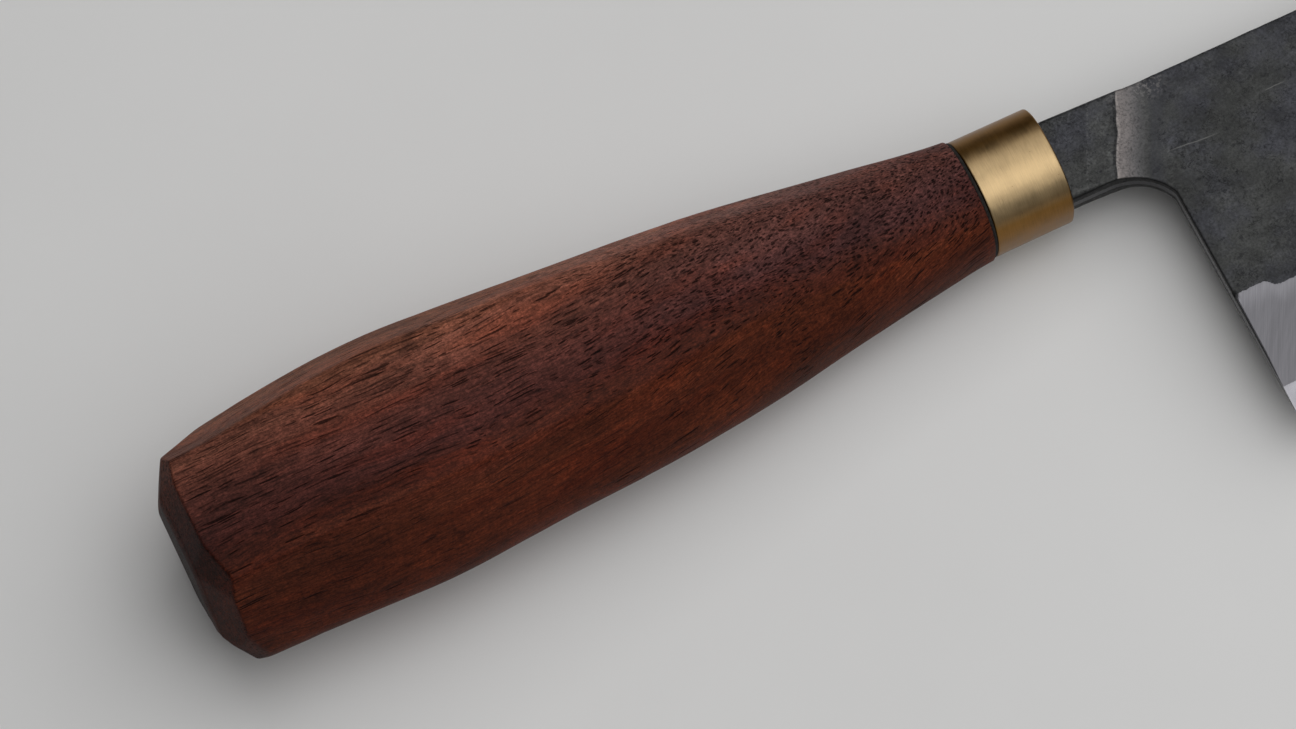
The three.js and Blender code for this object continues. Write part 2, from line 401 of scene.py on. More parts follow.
# END_GRAIN darkens the end grain: partly the wood's own darker ends, partly painted shade where they face
# away from the light.
END_GRAIN = (0.74, 0.62, 0.56)


def grain_space(s, x, y, z):
    """Places measured along the grain, which bends and sways, and how far it sways in y."""
    ahead = s.math("MAXIMUM", s.minus(x, GRAIN_BEND_FROM_X), 0.0)
    bend = s.times(ahead, ahead)
    bent_y = s.minus(y, s.times(bend, GRAIN_RISE))
    bent_z = s.minus(z, s.times(bend, GRAIN_RUN_OUT))
    bent = s.join(x, bent_y, bent_z)
    sway = s.noise(s.stretch(bent, (0.035, 0.09, 0.09)), detail=3, output="Color")
    sway = s.stretch(s.shift(sway, (-0.5, -0.5, -0.5)), (0.0, 4.0, 4.0))
    grain = s.shift(bent, sway)
    return grain, s.minus(s.split(grain)[1], bent_y)


def ring_depth(s, x, y, z, sway_y):
    """Depth in the growth rings: nearly flat sheets across y that lean a little towards z.

    Towards the ferrule they close up on the edge side and open out on the spine side.
    """
    squeeze = s.times(s.rise(x, -85.0, -25.0), s.rise(y, -3.0, 3.0, 0.6, -0.4))
    depth = s.times(y, s.plus(1.0, squeeze))
    depth = s.plus(depth, sway_y)
    return s.plus(depth, s.times(z, 0.20))


def ring_colour(s, x, y, along, depth):
    """Colour of the growth rings: darker towards the butt, with a purplish painted sheen in front on the
    spine side.
    """
    waves = s.join(s.times(along, 0.006), s.times(depth, 0.42), 0.0)
    rings = s.noise(waves, detail=4, roughness=0.6)
    zone = s.plus(s.times(depth, 1 / ZONE_HEIGHT), 0.5)
    zone = s.plus(zone, s.times(s.minus(rings, 0.5), 0.26))
    colour = s.ramp(zone, ZONE_COLOURS)
    colour = s.vary(colour, x, -130.0, -95.0, 0.74, 1.0)
    # painted sheen: a purplish grey tint in front on the spine side, standing for a soft reflection
    painted_sheen = s.times(s.rise(x, -75.0, -35.0), s.rise(y, -6.0, -2.0))
    return s.mix(painted_sheen, colour, s.stretch(colour, PAINTED_SHEEN_TINT))


def with_fibres(s, grain, colour):
    """The colour with patches, bands, fibres, ripples and grit, and the fibre and the grit alone."""
    patches = s.noise(s.stretch(grain, (0.05, 0.16, 0.16)), detail=3, roughness=0.55)
    colour = s.vary(colour, patches, 0.25, 0.75, 0.72, 1.28)
    red = s.noise(s.stretch(grain, (0.03, 0.3, 0.3)), detail=2)
    colour = s.mix(s.rise(red, 0.45, 0.7), colour, s.stretch(colour, RED))
    bands = s.noise(s.stretch(grain, (0.07, 1.4, 1.4)), detail=3, roughness=0.6)
    colour = s.vary(colour, bands, 0.28, 0.72, 0.80, 1.20)
    fibre = s.noise(s.stretch(grain, (0.40, 3.4, 3.4)), detail=4, roughness=0.65)
    colour = s.vary(colour, fibre, 0.30, 0.70, 0.56, 1.44)
    ripple = s.noise(s.stretch(grain, (1.8, 0.5, 0.5)), detail=3, roughness=0.6, distortion=0.6)
    colour = s.vary(colour, ripple, 0.3, 0.7, 0.86, 1.14)
    grit = s.noise(s.stretch(grain, (2.4, 4.2, 4.2)), detail=3, roughness=0.75)
    colour = s.vary(colour, grit, 0.32, 0.68, 0.62, 1.38)
    return colour, fibre, grit


def vessels(s, grain, length, spacing, share, reach):
    """Long thin tubes along the grain, in this share of the cells. The carved surface cuts them short."""
    cell = s.stretch(grain, (1 / length, 1 / spacing, 1 / spacing))
    lot, _, _ = s.split(s.cells(cell, output="Color"))
    open_here = s.rise(s.minus(share, lot), -0.02, 0.02)
    return s.times(s.rise(s.minus(reach, s.cells(cell)), -0.04, 0.06), open_here)


def with_vessels(s, x, y, grain, along, depth, colour):
    """The colour with its vessels, and the vessels alone.

    Broad open ones crowd towards the ferrule and in some rings, and the finer ones on the spine side.
    """
    crowd = s.noise(s.join(s.times(along, 0.03), s.times(depth, 0.5), 7.0), detail=2)
    forward = s.rise(x, -75.0, -40.0, 0.0, 0.55)
    share = s.plus(s.rise(crowd, 0.35, 0.70, 0.12, 0.55), forward)
    share = s.times(share, s.rise(y, -10.0, -5.0, 0.4, 1.0))
    broad = vessels(s, grain, 9.0, 0.42, share, 0.31)
    fine_share = s.rise(depth, -8.0, 3.0, 0.25, 0.95)
    fine = vessels(s, s.shift(grain, (3.0, 17.0, 5.0)), 14.0, 0.36, fine_share, 0.29)
    colour = s.mix(s.times(fine, 0.75), colour, s.scaled(colour, 0.24))
    colour = s.mix(s.times(broad, 0.90), colour, s.scaled(colour, 0.16))
    return colour, s.math("MAXIMUM", broad, s.times(fine, 0.5))


def with_end_grain(s, position, colour):
    """End grain is darker, partly its own colour and partly painted shade where it faces away from the light.
    The flat end is darker still, as painted shade, and surfaces that face the spine side are paler, as
    painted light.
    """
    nx, ny, _ = s.split(s.normal())
    end = s.rise(s.absolute(nx), 0.25, 0.75)
    chopped = s.noise(position, scale=1.7, detail=4, roughness=0.7)
    open_ends = s.stretch(colour, END_GRAIN)
    colour = s.mix(end, colour, s.vary(open_ends, chopped, 0.32, 0.68, 0.55, 1.45))
    # painted shade: the flat end, which faces away from the light, is darkened further
    colour = s.vary(colour, s.absolute(nx), 0.986, 0.997, 1.0, 0.42)
    # painted light: surfaces that face the spine side are lightened, as if lit from there
    return s.vary(colour, ny, 0.60, 0.88, 1.0, 1.30)


def walnut():
    s = Shader("carved_walnut")
    position = s.position()
    x, y, z = s.split(position)
    grain, sway_y = grain_space(s, x, y, z)
    along, _, _ = s.split(grain)
    depth = ring_depth(s, x, y, z, sway_y)
    colour = ring_colour(s, x, y, along, depth)
    colour, fibre, grit = with_fibres(s, grain, colour)
    colour, vessel = with_vessels(s, x, y, grain, along, depth, colour)
    colour = with_end_grain(s, position, colour)
    normal = s.bump(fibre, 0.05)
    normal = s.bump(grit, 0.03, normal)
    normal = s.bump(s.inverse(vessel), 0.12, normal)
    rough = s.plus(s.rise(fibre, 0.2, 0.8, 0.50, 0.62), s.times(vessel, 0.2))
    return s.finish(Base_Color=colour, Roughness=rough, Normal=normal, Specular_IOR_Level=0.08)


def streaks(s, position, degrees, along, across):
    """Scratches that run at this angle in the plane of the blade, each about along by across millimetres."""
    stretched = s.stretch(s.turn(position, degrees), (1 / along, 1 / across, 0.3))
    return s.noise(stretched, detail=3, roughness=0.65)


def stroke(s, position, start, end, width):
    """1 on a thin scratch between two points in the plane of the blade, and 0 away from it."""
    length = math.dist(start, end)
    degrees = math.degrees(math.atan2(end[1] - start[1], end[0] - start[0]))
    local = s.turn(s.shift(position, (-start[0], -start[1], 0)), degrees)
    along, across, _ = s.split(local)
    wave = s.times(s.minus(s.noise(local, scale=0.35), 0.5), 0.4)
    across = s.absolute(s.plus(across, wave))
    on_line = s.inverse(s.rise(across, width / 2, width))
    after = s.rise(along, 0.0, length * 0.3)
    before = s.inverse(s.rise(along, length * 0.7, length))
    return s.times(on_line, s.times(after, before))


GROUND = (0.120, 0.118, 0.127)
BRIGHT_STEEL = (0.215, 0.212, 0.228)


def ground_metal(s, position):
    """Colour of hand-ground steel, and its fine slanted scratches."""
    fine = streaks(s, position, 62, 9.0, 0.10)
    broad = streaks(s, position, 52, 10.0, 0.7)
    colour = s.mix(s.rise(broad, 0.35, 0.68), GROUND, s.scaled(GROUND, 1.12))
    colour = s.vary(colour, fine, 0.25, 0.75, 0.80, 1.16)
    return colour, fine


BLUISH_SCALE, OLIVE_SCALE = (0.040, 0.041, 0.0475), (0.0440, 0.0450, 0.0440)
FLAKE_OUTLINE, PIT = (0.013, 0.013, 0.016), (0.016, 0.016, 0.020)
# Colours of the ramp past the neck's ridge and of its crest: partly worn scale, partly painted highlight
# where they face the light.
RAMP_WEAR_AND_DULL_SHEEN, RAMP_WEAR_AND_HIGHLIGHT, CREST_WEAR_AND_HIGHLIGHT = (0.112, 0.108, 0.112), (0.235, 0.210, 0.203), (0.34, 0.31, 0.295)
BEYOND_RIDGE, GROOVE, CRACK = (0.038, 0.039, 0.047), (0.010, 0.010, 0.012), (0.14, 0.14, 0.14)
FLECK, SCRATCH, CHIP = (0.190, 0.180, 0.178), (0.20, 0.20, 0.19), (0.34, 0.34, 0.345)
# Wall colours, darker than the faces: partly scale, partly painted shade of walls that face away from the
# light.
SCALE_WALL_AND_PAINTED_SHADE, CORE_WALL_AND_PAINTED_SHADE = (0.005, 0.005, 0.0055), (0.028, 0.028, 0.032)
SPINE_FLECKS_X = 15.5  # flecks of bare metal lie near the spine about this x


def scale_skin(s, position, x):
    """Forge scale: a dark satin skin, here bluish and there olive, with curled flake outlines and pits.

    Gives back its colour, its mottle, its grit, its pits and its relief.
    """
    clouds = s.noise(position, scale=0.11, detail=4, roughness=0.6)
    colour = s.mix(s.rise(clouds, 0.38, 0.62), BLUISH_SCALE, OLIVE_SCALE)
    light = s.noise(s.shift(position, (9, 30, 0)), scale=0.22, detail=5, roughness=0.66)
    colour = s.vary(colour, light, 0.32, 0.68, 0.74, 1.30)
    lively = s.rise(s.noise(s.shift(position, (60, 5, 0)), scale=0.17, detail=2), 0.36, 0.60)
    mottle = s.noise(position, scale=1.7, detail=5, roughness=0.7, distortion=0.7)
    colour = s.scaled(colour, s.plus(1.0, s.times(lively, s.rise(mottle, 0.3, 0.7, -0.42, 0.46))))
    patch = s.noise(position, scale=0.3, detail=2)
    flakes = s.noise(position, scale=0.75, detail=3, roughness=0.55, distortion=2.0)
    outline = s.inverse(s.rise(s.absolute(s.minus(flakes, 0.54)), 0.003, 0.014))
    by_ferrule = s.rise(x, 4.0, 9.0, 1.0, 0.0)
    outline = s.times(outline, s.math("MAXIMUM", by_ferrule, s.rise(patch, 0.50, 0.58)))
    colour = s.mix(s.times(outline, 0.6), colour, FLAKE_OUTLINE)
    pits = s.inverse(s.rise(s.cells(s.stretch(position, (0.34, 0.34, 0.34))), 0.03, 0.13))
    blots = s.rise(s.noise(s.shift(position, (40, 0, 0)), scale=0.8, detail=5, roughness=0.66), 0.60, 0.66)
    pits = s.math("MAXIMUM", pits, s.times(blots, 0.75))
    colour = s.mix(s.times(pits, 0.6), colour, PIT)
    grit = s.noise(position, scale=2.8, detail=4, roughness=0.75)
    colour = s.vary(colour, grit, 0.32, 0.68, 0.74, 1.26)
    relief = s.plus(s.times(mottle, 0.5), s.times(flakes, 0.5))
    relief = s.minus(relief, s.times(s.plus(pits, outline), 0.25))
    return colour, mottle, grit, pits, relief


def with_ridge_wear_and_highlight(s, y, past, mottle, grit, colour):
    """The neck's ridge: a dark groove before it, then a bright crest and a pale ramp past it, which are
    partly scale worn pale and partly a painted highlight where the crest and ramp catch the light.
    """
    high_up = s.rise(y, -15.0, -11.0)
    # the pale and bright ramp and the crest below are partly worn scale and partly a painted highlight of the
    # ramp catching the light
    worn = s.times(s.rise(past, -0.05, 0.12), high_up)
    broken = s.rise(grit, 0.34, 0.56, 0.35, 1.0)
    speckled = s.times(worn, broken)
    dull = s.times(speckled, s.rise(past, 2.4, RAMP_LENGTH, 0.85, 0.0))
    colour = s.mix(dull, colour, RAMP_WEAR_AND_DULL_SHEEN)
    uneven = s.plus(past, s.times(mottle, 1.8))
    bright = s.times(speckled, s.rise(uneven, 1.2, 4.6, 0.85, 0.0))
    colour = s.mix(bright, colour, RAMP_WEAR_AND_HIGHLIGHT)
    crest = s.times(speckled, s.rise(past, 0.25, 0.6, 0.5, 0.0))
    colour = s.mix(crest, colour, CREST_WEAR_AND_HIGHLIGHT)
    beyond = s.times(s.rise(past, 4.4, 5.6), s.rise(past, 6.0, 8.0, 0.5, 0.0))
    colour = s.mix(s.times(beyond, high_up), colour, BEYOND_RIDGE)
    groove = s.inverse(s.rise(s.absolute(s.plus(past, 0.28)), 0.12, 0.34))
    groove = s.times(groove, s.rise(mottle, 0.38, 0.56, 0.9, 0.25))
    return s.mix(s.times(groove, high_up), colour, GROOVE)


def with_faint_crease(s, x, y, past, mottle, colour):
    """The faint crease half way along the neck: paler in front of it, as painted light where the neck slopes
    towards the light, with a broken crack along it.
    """
    faint = s.minus(x, s.plus(s.times(y, FAINT_CREASE[1]), FAINT_CREASE[0]))
    before_ridge = s.rise(past, -0.6, -0.2, 1.0, 0.0)
    # painted light: the neck in front of the faint crease is lightened, as if its slope caught the light
    painted_light_ahead = s.times(s.rise(faint, -0.4, 0.4, 0.0, 0.22), before_ridge)
    colour = s.scaled(colour, s.plus(1.0, painted_light_ahead))
    crack = s.inverse(s.rise(s.absolute(faint), 0.06, 0.22))
    crack = s.times(s.times(crack, before_ridge), s.rise(mottle, 0.46, 0.62, 0.0, 0.5))
    return s.mix(crack, colour, CRACK)


def with_wear(s, position, x, y, rim, colour):
    """Flecks by the spine, fine marks, the long scratches, and chips along the rims."""
    by_ridge = s.rise(s.absolute(s.minus(x, SPINE_FLECKS_X)), 2.0, 5.5, 0.7, 0.0)
    by_spine = s.times(s.rise(y, 0.5, 4.5), by_ridge)
    flecks = s.rise(s.noise(position, scale=1.9, detail=4, roughness=0.7), 0.50, 0.60)
    colour = s.mix(s.times(by_spine, flecks), colour, FLECK)
    marks = s.rise(streaks(s, position, 8, 6.0, 0.07), 0.69, 0.75)
    marks = s.times(marks, s.rise(s.noise(position, scale=0.15), 0.48, 0.6))
    for start, end, width in SCRATCHES:
        marks = s.math("MAXIMUM", marks, stroke(s, position, start, end, width))
    colour = s.mix(s.times(marks, 0.40), colour, SCRATCH)
    near_rim = s.rise(rim, 0.0, 0.8, 0.12, -0.25)
    chips = s.rise(s.plus(s.noise(position, scale=2.6, detail=3), near_rim), 0.66, 0.72)
    on_neck = s.times(s.rise(x, 9.0, 11.0, 0.9, 0.15), s.rise(y, 3.0, 4.5, 0.15, 1.0))
    return s.mix(s.times(chips, on_neck), colour, CHIP)


def forge_scale():
    """The cladding's faces: forge scale, ground away below the border, with near-black walls that are partly
    scale and partly painted shade.
    """
    s = Shader("forge_scale")
    position = s.position()
    x, y, _ = s.split(position)
    _, _, nz = s.split(s.normal())
    border, rim, past = (s.attribute(name) for name in ("border", "rim", "past"))
    colour, mottle, grit, pits, relief = scale_skin(s, position, x)
    colour = with_ridge_wear_and_highlight(s, y, past, mottle, grit, colour)
    colour = with_faint_crease(s, x, y, past, mottle, colour)
    colour = with_wear(s, position, x, y, rim, colour)
    # painted shade with the scale: the walls are made near black
    wall = s.inverse(s.rise(s.absolute(nz), 0.35, 0.85))
    colour = s.mix(wall, colour, SCALE_WALL_AND_PAINTED_SHADE)

    metal, fine = ground_metal(s, position)
    ragged = s.times(s.minus(s.noise(position, scale=3.0, detail=4), 0.5), 0.5)
    bare = s.inverse(s.rise(s.plus(border, ragged), -0.05, 0.05))
    bare = s.times(bare, s.rise(s.absolute(nz), 0.6, 0.9))
    # painted highlight: the ground bevel is brightened towards its border with the scale, up to 1.38 times
    lit = s.rise(border, -3.5, 0.0, 1.0, 1.38)
    colour = s.mix(bare, colour, s.scaled(metal, lit))

    scale_rough = s.plus(s.rise(mottle, 0.25, 0.75, 0.42, 0.56), s.times(pits, 0.12))
    rough = s.node("Mix", {0: bare, 2: scale_rough, 3: s.rise(fine, 0.3, 0.7, 0.36, 0.44)})
    metallic = s.rise(bare, 0.0, 1.0, 0.60, 1.0)
    normal = s.bump(s.times(relief, s.rise(bare, 0.0, 1.0, 1.0, 0.0)), 0.06)
    normal = s.bump(fine, 0.004, normal)
    looks = {"Base_Color": colour, "Roughness": rough, "Metallic": metallic, "Normal": normal}
    return s.finish(**looks, Specular_IOR_Level=0.3)


def edge_steel():
    """The core: bright ground faces and dark walls, partly scale and partly painted shade."""
    s = Shader("core_steel")
    position = s.position()
    _, _, nz = s.split(s.normal())
    fine = streaks(s, position, 68, 5.0, 0.07)
    clouds = s.noise(position, scale=0.4, detail=3)
    colour = s.vary(BRIGHT_STEEL, clouds, 0.3, 0.7, 0.9, 1.06)
    colour = s.vary(colour, fine, 0.25, 0.75, 0.86, 1.1)
    # painted shade with the scale: the core's walls are made dark
    wall = s.inverse(s.rise(s.absolute(nz), 0.35, 0.8))
    colour = s.mix(wall, colour, CORE_WALL_AND_PAINTED_SHADE)
    rough = s.rise(fine, 0.3, 0.7, 0.22, 0.32)
    return s.finish(Base_Color=colour, Roughness=rough, Metallic=1.0, Normal=s.bump(fine, 0.003))


# Brass colours for painted shade and painted light, mixed by the way the ring faces.
BRASS_IN_PAINTED_SHADE, BRASS_IN_PAINTED_LIGHT = (0.235, 0.120, 0.032), (0.385, 0.278, 0.150)
BRASS_PIT = (0.10, 0.055, 0.02)


def brushed_brass():
    """Brass brushed around the ring: paler where it faces out of the knife's two faces, as painted light, and
    darker towards the spine side and the edge side, most on the spine side, as painted shade.
    """
    s = Shader("brushed_brass")
    position = s.position()
    brush = s.noise(s.stretch(position, (9.0, 0.45, 0.45)), detail=4, roughness=0.7)
    hair = s.noise(s.stretch(position, (26.0, 1.1, 1.1)), detail=2)
    tarnish = s.noise(position, scale=0.35, detail=4)
    pits = s.inverse(s.rise(s.cells(s.stretch(position, (0.7, 0.7, 0.7))), 0.03, 0.07))
    _, ny, nz = s.split(s.normal())
    # painted light and shade: paler where the normal points out of the knife's faces, darker towards the
    # spine side and the edge side
    facing = s.minus(s.times(s.absolute(nz), 0.94), s.times(ny, 0.34))
    colour = s.mix(s.rise(facing, 0.70, 0.96), BRASS_IN_PAINTED_SHADE, BRASS_IN_PAINTED_LIGHT)
    colour = s.vary(colour, tarnish, 0.3, 0.7, 0.90, 1.10)
    colour = s.vary(colour, brush, 0.25, 0.75, 0.84, 1.14)
    colour = s.mix(s.times(pits, 0.6), colour, BRASS_PIT)
    rough = s.plus(s.rise(brush, 0.25, 0.75, 0.27, 0.38), s.times(s.rise(tarnish, 0.4, 0.7), 0.05))
    height = s.plus(s.times(brush, 0.6), s.times(hair, 0.4))
    return s.finish(Base_Color=colour, Roughness=rough, Metallic=1.0, Normal=s.bump(height, 0.012))


def black_fibre():
    s = Shader("black_fibre")
    weave = s.noise(s.stretch(s.position(), (5.0, 2.0, 2.0)), detail=4, roughness=0.7)
    colour = s.mix(s.rise(weave, 0.35, 0.7), (0.006, 0.0055, 0.005), (0.034, 0.030, 0.026))
    rough = s.rise(weave, 0.3, 0.7, 0.6, 0.8)
    normal = s.bump(weave, 0.03)
    return s.finish(Base_Color=colour, Roughness=rough, Normal=normal, Specular_IOR_Level=0.15)


def black_resin():
    s = Shader("black_resin")
    cloud = s.noise(s.position(), scale=0.9, detail=4)
    colour = s.mix(s.rise(cloud, 0.3, 0.7), (0.008, 0.008, 0.009), (0.022, 0.021, 0.021))
    rough = s.rise(cloud, 0.3, 0.7, 0.22, 0.40)
    return s.finish(Base_Color=colour, Roughness=rough, Normal=s.bump(cloud, 0.04))


def pale_floor():
    s = Shader("pale_floor")
    grain = s.noise(s.position(), scale=0.02, detail=5)
    colour = s.mix(grain, (0.80, 0.797, 0.79), (0.86, 0.857, 0.85))
    return s.finish(Base_Color=colour, Roughness=0.75)


# ---- blade ----

CREASE = (10.65, 0.485)  # the neck's ridge lies at x = this + this * y
FAINT_CREASE = (6.1, 0.5)
RAMP_DROP = 0.012
LIP_HEIGHT, LIP_WIDTH = 0.05, 0.28
SCRATCHES = [
    ((14.6, -6.2), (23.2, -6.9), 0.11),
    ((31.0, -4.0), (34.8, -4.0), 0.09),
    ((29.0, -19.5), (36.5, -18.3), 0.08),
    ((47.0, -12.0), (54.0, -14.5), 0.08),
    ((88.0, -8.0), (99.0, -5.5), 0.09),
    ((121.0, -19.0), (126.0, -14.0), 0.08),
]


def border_y(x, side):
    """Where the ground bevel meets the scale: waves of a millimetre, and one deeper notch near the heel."""
    seed = 11 if side > 0 else 12
    waves = 0.75 * noise(x / 9, 0.5, seed) + 0.35 * noise(x / 3.1, 3.5, seed)
    waves = waves + 0.12 * noise(x / 0.9, 9.5, seed)
    calm = smooth((x - HEEL_X - 9) / 6)
    notch = -1.25 * smooth((x - 18.2) / 1.6) * (1 - smooth((x - 24) / 8))
    return SHOULDER_Y + 0.3 + waves * (0.25 + 0.75 * calm) + notch


def core_y(x):
    """Where the cladding ends and the core is bare."""
    return CORE_Y - 0.25 + 0.45 * noise(x / 12, 1.5, 21) + 0.2 * noise(x / 4, 5.5, 21)


def half_thickness(x, y):
    """Half thickness of the blade at each point: of its flat, and of the ground bevel's planes carried on."""
    share = np.clip((x - HEEL_X) / (TIP_X - HEEL_X), 0, 1)
    heights = [heel + (tip - heel) * share for heel, tip in zip(HEEL_HALF, TIP_HALF)]
    spine, shoulder, core, edge = heights
    spine_y, shoulder_y, core_line_y, edge_y = FACE_HEIGHTS_Y
    wide = core + (shoulder - core) * (y - core_line_y) / (shoulder_y - core_line_y)
    narrow = edge + (core - edge) * (y - edge_y) / (core_line_y - edge_y)
    flat = shoulder + (spine - shoulder) * (y - shoulder_y) / (spine_y - shoulder_y)
    return flat, np.minimum(wide, narrow)


def past_crease(x, y):
    """How far a point lies past the neck's wavy ridge, along x."""
    waves = 0.35 * noise(x / 9, y / 2.6, 43) + 0.16 * noise(x / 5, y / 0.9, 44)
    return x - (CREASE[0] + CREASE[1] * y) + waves


def face_height(x, y, side):
    """Height of a face over the middle plane, before its rims are rounded."""
    flat, ground = half_thickness(x, y)
    seed = 31 if side > 0 else 37
    dents = 0.045 * noise(x / 13, y / 11, seed) + 0.018 * noise(x / 5, y / 5, seed + 1)
    dents += 0.006 * noise(x / 1.8, y / 1.8, seed + 2)
    higher_flat, higher_ground = half_thickness(x, y + 1)
    slope = (higher_ground - ground) - (higher_flat - flat)
    lift = slope * (border_y(x, side) - SHOULDER_Y)
    near_border = np.exp(-(((y - SHOULDER_Y) / 5) ** 2))
    flat = flat + dents * (1 - near_border) + lift * near_border
    past = past_crease(x, y)
    before = x - (FAINT_CREASE[0] + FAINT_CREASE[1] * y)
    neck = NECK_HALF - RAMP_DROP * np.clip(before, 0, None) + 0.35 * dents
    neck = neck + LIP_HEIGHT * np.exp(-((past / LIP_WIDTH) ** 2))
    fall = np.clip(1 - past / RAMP_LENGTH, 0, 1) ** 2
    ramp = flat + (neck - flat) * fall
    return np.minimum(np.where(past < 0, neck, ramp), np.maximum(ground, flat * (past < 0)))


def bond_height(x):
    """Half thickness of the core layer: the cladding thins to nothing where the ground bevel reaches it."""
    return half_thickness(x, core_y(x))[1]


def tang_half_thickness(x):
    share = np.clip((NECK_BACK_X - x) / (NECK_BACK_X - TANG_END_X), 0, 1)
    return TANG_ROOT_HALF[1] + (TANG_END_HALF[1] - TANG_ROOT_HALF[1]) * share


def neck_and_arc(step):
    points = line((NECK_BACK_X, NECK_UNDER_Y), (ARC_X, NECK_UNDER_Y), step)
    arc = [
        (ARC_X, NECK_UNDER_Y),
        (ARC_X + 4.2, NECK_UNDER_Y - 0.1),
        (HEEL_X - 1.0, ARC_Y + 2.7),
        (HEEL_X, ARC_Y),
    ]
    return points + curve(arc, step)


def edge_and_tip(step):
    edge_tip_y = EDGE_Y + EDGE_LIFT
    points = line((HEEL_X, EDGE_Y), (BELLY_X, EDGE_Y), step)
    points += curve([(BELLY_X, EDGE_Y), (TIP_X - 30, EDGE_Y), (TIP_X - EDGE_CORNER, edge_tip_y)], step)
    corner_end = (TIP_X - 0.6, edge_tip_y + EDGE_CORNER)
    corner = [(TIP_X - EDGE_CORNER, edge_tip_y), (TIP_X - 0.8, edge_tip_y + 0.4), corner_end]
    points += curve(corner, step / 2)
    points += line(corner_end, (TIP_X, TIP_SPINE_Y - TIP_CORNER), step)
    corner = [(TIP_X, TIP_SPINE_Y - TIP_CORNER), (TIP_X, TIP_SPINE_Y - 1), (TIP_X - TIP_CORNER, TIP_SPINE_Y)]
    return points + curve(corner, step / 2)


def spine(step):
    middle_x = (HEEL_X + TIP_X) / 2
    points = curve([(TIP_X - TIP_CORNER, TIP_SPINE_Y), (middle_x, SPINE_Y), (HEEL_X, SPINE_Y)], step)
    return points + line((HEEL_X, SPINE_Y), (NECK_BACK_X, NECK_TOP_Y), step)


STEP = 0.45 if FINE else 1.2
WIDE_STEP = 0.8 if FINE else 2.5
NECK_AREA_X = 36  # up to here the mesh is fine


def blade_outline():
    """Side view of the neck and blade, from the neck's underside round by the edge, the tip and the spine."""
    heel = line((HEEL_X, ARC_Y), (HEEL_X, EDGE_Y), STEP)
    points = np.array(neck_and_arc(STEP) + heel + edge_and_tip(WIDE_STEP) + spine(WIDE_STEP))
    x, y = points.T
    wander = 0.03 * noise(x / 3, y / 3, 41) + 0.05 * noise(x / 11, y / 11, 42)
    wander = np.where((x > HEEL_X + 1) & (y < EDGE_Y + 3), 0, wander)
    return points + (wander * np.array([[0.5], [1.0]])).T


OUTLINE = blade_outline()


def rim_radius(points):
    """Rounding of the blade's rims: soft round the neck, small elsewhere, none at the edge."""
    x, y = points.T
    under = smooth((ARC_X - x) / 4) * (y < 0)
    over = smooth((20 - x) / 8) * (y > 0)
    radius = RIM_RADIUS + (NECK_RIM_RADIUS - RIM_RADIUS) * under + (SPINE_RIM_RADIUS - RIM_RADIUS) * over
    return np.where(y < EDGE_Y + 2, 0, radius)


OUTLINE_RADIUS = rim_radius(OUTLINE)


def rim_distance(points):
    """Distance from each point to the blade's outline, and the rim's radius there."""
    start = OUTLINE
    run = np.roll(OUTLINE, -1, axis=0) - start
    length = (run**2).sum(1)
    distance, radius = [], []
    for some in np.array_split(points, max(1, len(points) // 2000)):
        offset = some[:, None] - start
        along = np.clip((offset * run).sum(2) / length, 0, 1)
        gap = np.linalg.norm(offset - along[..., None] * run, axis=2)
        nearest = gap.argmin(1)
        distance.append(gap[np.arange(len(some)), nearest])
        radius.append(OUTLINE_RADIUS[nearest])
    return np.concatenate(distance), np.concatenate(radius)


def rounded_face(points, side):
    """Height of a face with its rims rounded."""
    x, y = points.T
    face = face_height(x, y, side)
    distance, radius = rim_distance(points)
    radius = np.clip(0.8 * (face - bond_height(x)), 0, radius) * (y > core_y(x))
    inward = np.clip(radius - distance, 0, radius)
    return face - (radius - np.sqrt(radius**2 - inward**2))


def inner_points():
    """Points inside the outline: rows that follow the rims, then a grid that is finer near the neck."""
    turn = np.roll(OUTLINE, -1, axis=0) - np.roll(OUTLINE, 1, axis=0)
    inward = np.stack([-turn[:, 1], turn[:, 0]], 1) / np.linalg.norm(turn, axis=1)[:, None]
    rows = []
    for share in (0.08, 0.27, 0.58, 1.05, 1.6):
        depth = share * np.maximum(OUTLINE_RADIUS, RIM_RADIUS)
        row = OUTLINE + inward * depth[:, None]
        rows.append(row[rim_distance(row)[0] > 0.9 * depth])
    for step, low_x, high_x in ((STEP, NECK_BACK_X, NECK_AREA_X), (WIDE_STEP, NECK_AREA_X, TIP_X)):
        across, up = np.meshgrid(np.arange(low_x, high_x, step), np.arange(EDGE_Y, NECK_TOP_Y, step))
        across = across + step / 2 * (np.arange(len(across)) % 2)[:, None]
        grid = np.stack([across.ravel(), up.ravel()], 1)
        rows.append(grid[rim_distance(grid)[0] > 0.6 * step + NECK_RIM_RADIUS * (grid[:, 0] < HEEL_X)])
    return np.concatenate(rows)


def seam(height, low_x, high_x):
    """A line across the blade at y = height(x), in steps."""
    fine, wide = np.arange(low_x, NECK_AREA_X, STEP), np.arange(NECK_AREA_X, high_x, WIDE_STEP)
    x = np.concatenate([fine, wide, [high_x]])
    return np.stack([x, height(x)], 1)


def away_from(points, curve_y, gap):
    """The points that keep clear of the line y = curve_y(x)."""
    return points[np.abs(points[:, 1] - curve_y(points[:, 0])) > gap]


